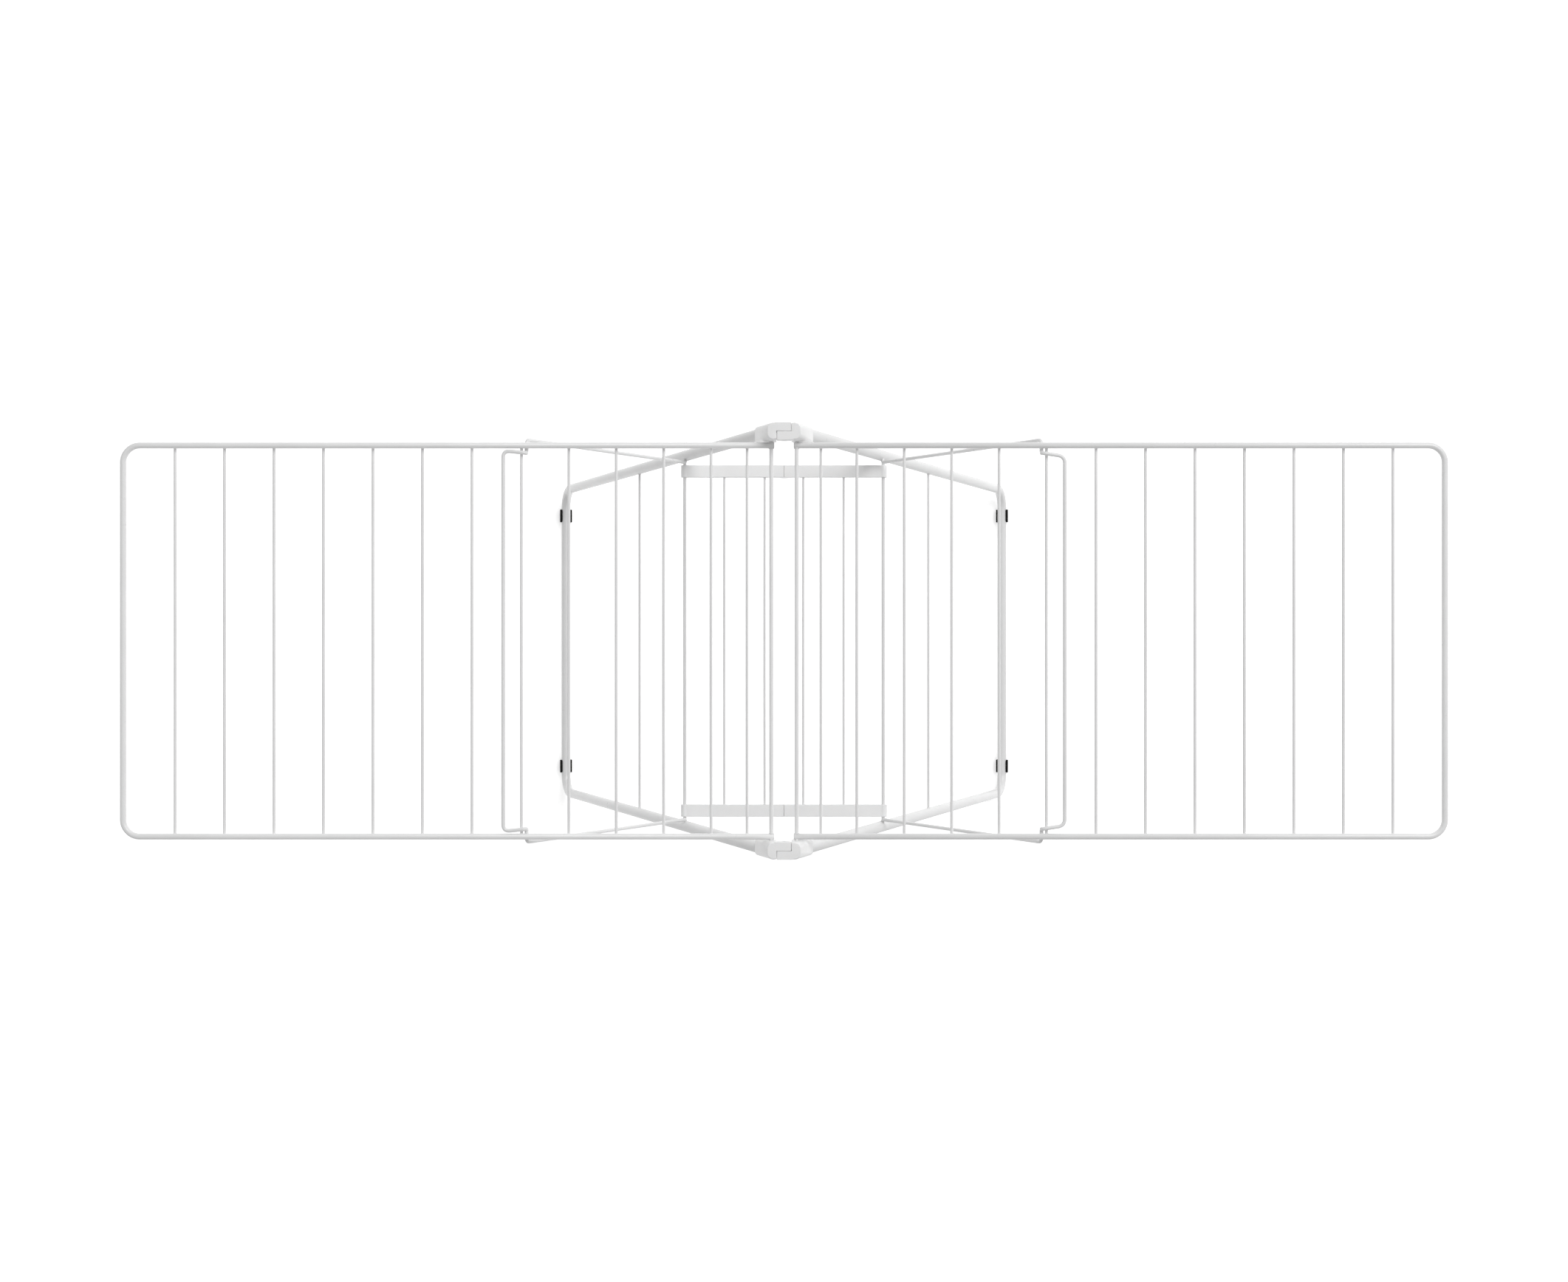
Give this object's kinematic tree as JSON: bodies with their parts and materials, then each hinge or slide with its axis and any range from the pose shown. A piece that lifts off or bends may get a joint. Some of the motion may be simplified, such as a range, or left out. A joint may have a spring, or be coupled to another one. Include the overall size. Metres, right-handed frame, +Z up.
{
  "type": "winged clothes drying rack",
  "caption": "Free-standing folding clothes drying rack: leg frames hinged at the top, a wire wing on each side held out by wire supports, and a folding shelf between the legs.",
  "frame": {"origin": "on the floor, under the centre of the rack, opened out for use", "axes": "+X along the length towards the right wing, +Y along the width towards the back, +Z up"},
  "size_m": [1.73, 0.565, 1.03],
  "materials": {
    "coated_tube": "semi-gloss white powder coat",
    "coated_wire": "semi-gloss white powder coat",
    "hinge_plastic": "moulded, fine satin",
    "shelf_plastic": "moulded, fine satin",
    "rubber_foot": "matte black",
    "zinc_pin": "zinc plated"
  },
  "bodies": {
    "leg_left": {"leg_frame_left": "coated_tube", "leg_cross_wire_left": "coated_wire", "foot_left_back": "rubber_foot", "foot_left_front": "rubber_foot", "hinge_half_left_back": "hinge_plastic", "hinge_half_left_front": "hinge_plastic", "hinge_pins": "zinc_pin", "socket_rivets_left": "zinc_pin", "shelf_rod_left": "coated_wire"},
    "leg_right": {"leg_frame_right": "coated_tube", "leg_cross_wire_right": "coated_wire", "foot_right_back": "rubber_foot", "foot_right_front": "rubber_foot", "hinge_half_right_back": "hinge_plastic", "hinge_half_right_front": "hinge_plastic", "socket_rivets_right": "zinc_pin", "shelf_stub_pins_right": "coated_wire"},
    "wing_left": {"wing_frame_left": "coated_tube", "wing_crossbar_left": "coated_tube", "wing_wire_left_1": "coated_wire", "wing_wire_left_2": "coated_wire", "wing_wire_left_3": "coated_wire", "wing_wire_left_4": "coated_wire", "wing_wire_left_5": "coated_wire", "wing_wire_left_6": "coated_wire", "wing_wire_left_7": "coated_wire", "wing_wire_left_8": "coated_wire", "wing_wire_left_9": "coated_wire", "wing_wire_left_10": "coated_wire", "wing_wire_left_11": "coated_wire", "wing_wire_left_12": "coated_wire", "wing_wire_left_13": "coated_wire"},
    "support_left": {"prop_left": "coated_tube"},
    "wing_right": {"wing_frame_right": "coated_tube", "wing_crossbar_right": "coated_tube", "wing_wire_right_1": "coated_wire", "wing_wire_right_2": "coated_wire", "wing_wire_right_3": "coated_wire", "wing_wire_right_4": "coated_wire", "wing_wire_right_5": "coated_wire", "wing_wire_right_6": "coated_wire", "wing_wire_right_7": "coated_wire", "wing_wire_right_8": "coated_wire", "wing_wire_right_9": "coated_wire", "wing_wire_right_10": "coated_wire", "wing_wire_right_11": "coated_wire", "wing_wire_right_12": "coated_wire", "wing_wire_right_13": "coated_wire"},
    "support_right": {"prop_right": "coated_tube"},
    "shelf_left": {"shelf_bar_left_back": "shelf_plastic", "shelf_bar_left_front": "shelf_plastic", "shelf_wire_left_1": "coated_wire", "shelf_wire_left_2": "coated_wire", "shelf_centre_pins": "zinc_pin"},
    "shelf_right": {"shelf_bar_right_back": "shelf_plastic", "shelf_bar_right_front": "shelf_plastic", "shelf_wire_right_1": "coated_wire", "shelf_wire_right_2": "coated_wire", "shelf_rod_right": "coated_wire"}
  },
  "joints": [
    {"name": "legs_fold", "type": "hinge", "parent": "leg_left", "child": "leg_right", "pos_m": [0, 0, 1.0204], "axis": [0, 1, 0], "range_deg": [0, 40.5]},
    {"name": "wing_left_fold", "type": "hinge", "parent": "leg_left", "child": "wing_left", "pos_m": [-0.0166, 0, 1.005], "axis": [0, -1, 0], "range_deg": [0, 64]},
    {"name": "wing_right_fold", "type": "hinge", "parent": "leg_right", "child": "wing_right", "pos_m": [0.0166, 0, 1.005], "axis": [0, 1, 0], "range_deg": [0, 64]},
    {"name": "support_left_swing", "type": "hinge", "parent": "wing_left", "child": "support_left", "pos_m": [-0.3428, 0, 0.99905], "axis": [0, -1, 0], "range_deg": [-115.06, 0]},
    {"name": "support_right_swing", "type": "hinge", "parent": "wing_right", "child": "support_right", "pos_m": [0.3428, 0, 0.99905], "axis": [0, 1, 0], "range_deg": [-115.06, 0]},
    {"name": "shelf_left_fold", "type": "hinge", "parent": "leg_left", "child": "shelf_left", "pos_m": [-0.1467, 0, 0.66286], "axis": [0, 1, 0], "range_deg": [-67.36, 0]},
    {"name": "shelf_centre_fold", "type": "hinge", "parent": "shelf_left", "child": "shelf_right", "pos_m": [0, 0, 0.65586], "axis": [0, 1, 0], "range_deg": [0, 175.12]}
  ],
  "couplings": [
    {"joint": "support_left_swing", "follows": "wing_left_fold", "ratio": -1.79},
    {"joint": "support_right_swing", "follows": "wing_right_fold", "ratio": -1.79},
    {"joint": "shelf_left_fold", "follows": "legs_fold", "ratio": -1.6558},
    {"joint": "shelf_centre_fold", "follows": "legs_fold", "ratio": 4.3115}
  ]
}
